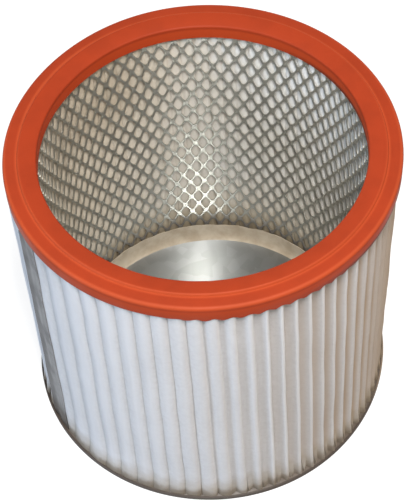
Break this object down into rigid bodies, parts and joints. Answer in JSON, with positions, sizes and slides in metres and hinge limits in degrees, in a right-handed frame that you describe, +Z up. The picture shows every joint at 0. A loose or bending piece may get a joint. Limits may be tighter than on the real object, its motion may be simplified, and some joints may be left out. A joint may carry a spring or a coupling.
{
  "type": "vacuum cartridge filter",
  "caption": "Upright pleated cartridge filter for a wet-and-dry vacuum, with a moulded sealing ring round its open mouth, an expanded metal core and a closed steel base.",
  "frame": {"origin": "centre of the underside of the base", "axes": "+Z up along the filter's axis, out of its open mouth; -Y towards the picture's camera"},
  "size_m": [0.1924, 0.1924, 0.175],
  "materials": {
    "ring_orange": "moulded, satin",
    "media_white": "non-woven, matt",
    "seam_grey": "dull grey",
    "mesh_steel": "galvanised",
    "base_steel": "galvanised",
    "resin_beige": "cast, matt"
  },
  "bodies": {
    "root": {"end_ring": "ring_orange", "pleated_media": "media_white", "seam_strip": "seam_grey", "support_mesh": "mesh_steel", "base_plate": "base_steel", "potting": "resin_beige"}
  },
  "joints": []
}
